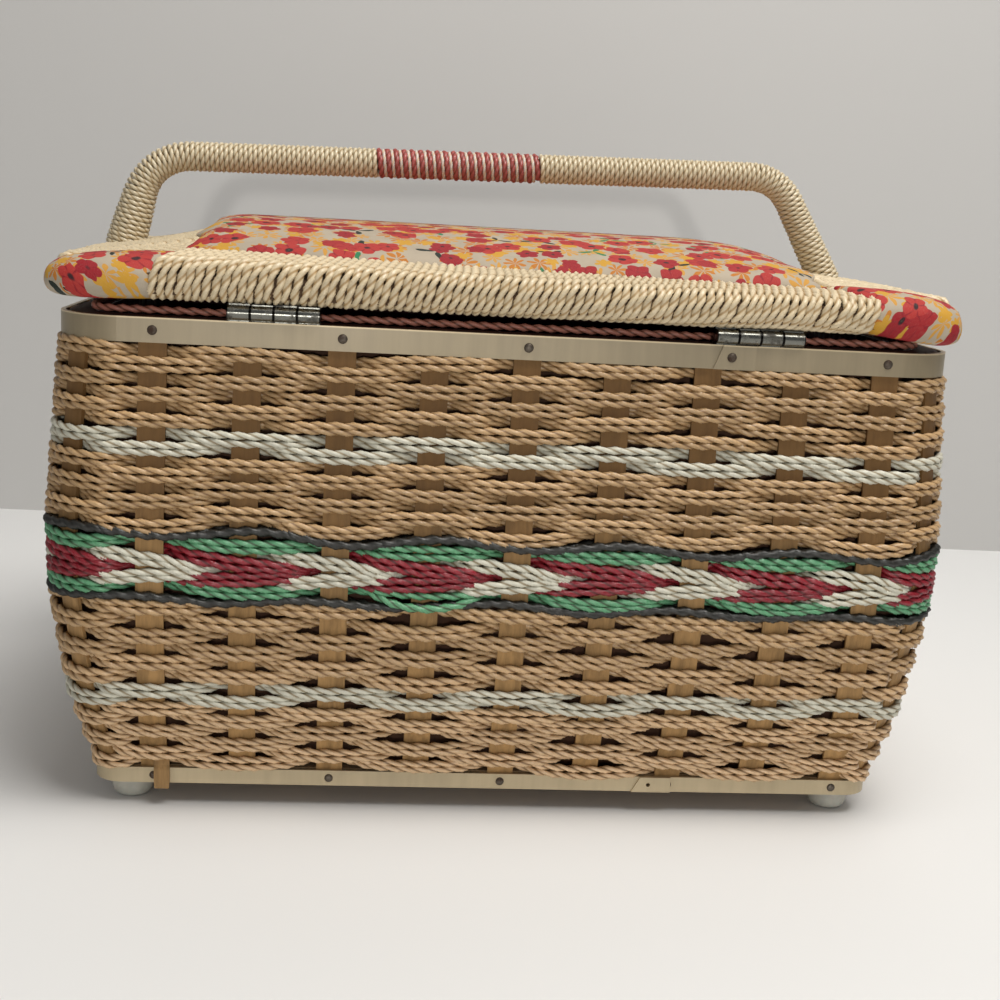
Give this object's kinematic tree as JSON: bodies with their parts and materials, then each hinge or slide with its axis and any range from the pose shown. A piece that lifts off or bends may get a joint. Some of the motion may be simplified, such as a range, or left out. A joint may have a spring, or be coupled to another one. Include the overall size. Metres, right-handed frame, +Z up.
{
  "type": "sewing basket",
  "caption": "Rectangular woven cord sewing basket with wooden stakes, plastic bands, a hinged padded floral lid, a wrapped bar handle and a wire latch.",
  "frame": {"origin": "middle of the whole outline, on the floor plane under the feet", "axes": "+X along the length to the right seen from the hinge side, +Y away from the hinges towards the latch, +Z up"},
  "size_m": [0.31, 0.229, 0.2323],
  "materials": {
    "cord_natural": "twisted natural cord with a soft gloss",
    "cord_white": "twisted white cord, slightly glossy",
    "cord_green": "twisted mint green cord",
    "cord_red": "twisted crimson cord",
    "cord_dark": "twisted charcoal cord",
    "stake_wood": "split wood, satin",
    "board_wood": "plain softwood",
    "knob_wood": "turned wood, varnished",
    "band_plastic": "aged cream plastic strip",
    "foot_plastic": "aged grey-cream plastic",
    "nail_steel": "dark tarnished steel",
    "screw_steel": "plain steel",
    "hinge_steel": "tarnished plated steel",
    "latch_steel": "plated steel",
    "lining_cloth": "burgundy satin",
    "braid_cord": "twisted dark red braid",
    "floral_cloth": "printed cotton with small flowers",
    "panel_card": "grey-brown card"
  },
  "bodies": {
    "basket": {"base_board": "board_wood", "bottom_band": "band_plastic", "bottom_nails": "nail_steel", "foot_back_left": "foot_plastic", "foot_back_right": "foot_plastic", "foot_front_left": "foot_plastic", "foot_front_right": "foot_plastic", "foot_screws": "screw_steel", "hinge_pin_left": "hinge_steel", "hinge_pin_right": "hinge_steel", "hinge_rim_leaf_left": "hinge_steel", "hinge_rim_leaf_right": "hinge_steel", "hinge_screws_rim": "screw_steel", "latch_plate": "latch_steel", "latch_screws": "screw_steel", "lining_floor": "lining_cloth", "lining_walls": "lining_cloth", "rim_braid": "braid_cord", "stakes": "stake_wood", "top_band": "band_plastic", "top_frame": "board_wood", "top_nails": "nail_steel", "weave_arrow_red": "cord_red", "weave_arrow_white_high": "cord_white", "weave_arrow_white_low": "cord_white", "weave_dark_high": "cord_dark", "weave_dark_low": "cord_dark", "weave_green_high": "cord_green", "weave_green_low": "cord_green", "weave_natural_base": "cord_natural", "weave_natural_high": "cord_natural", "weave_natural_low": "cord_natural", "weave_natural_middle": "cord_natural", "weave_white_high": "cord_white", "weave_white_low": "cord_white"},
    "lid": {"grip_sleeve": "cord_white", "grip_winding": "cord_red", "handle_core": "board_wood", "handle_pegs": "screw_steel", "handle_wrap_left": "cord_natural", "handle_wrap_right": "cord_natural", "hinge_lid_leaf_left": "hinge_steel", "hinge_lid_leaf_right": "hinge_steel", "hinge_screws_lid": "screw_steel", "latch_knob": "knob_wood", "lid_board": "panel_card", "lid_corner_cloth": "floral_cloth", "lid_cushion": "floral_cloth", "lid_frame": "board_wood", "lid_lining": "lining_cloth", "lid_wrap_back": "cord_natural", "lid_wrap_front": "cord_natural", "lid_wrap_left": "cord_natural", "lid_wrap_right": "cord_natural"},
    "latch": {"latch_loop": "latch_steel"}
  },
  "joints": [
    {"name": "lid_hinge", "type": "hinge", "parent": "basket", "child": "lid", "pos_m": [0, -0.1085, 0.17175], "axis": [1, 0, 0], "range_deg": [0, 100]},
    {"name": "latch_swing", "type": "hinge", "parent": "basket", "child": "latch", "pos_m": [0, 0.1091, 0.165], "axis": [1, 0, 0], "range_deg": [0, 180]}
  ]
}
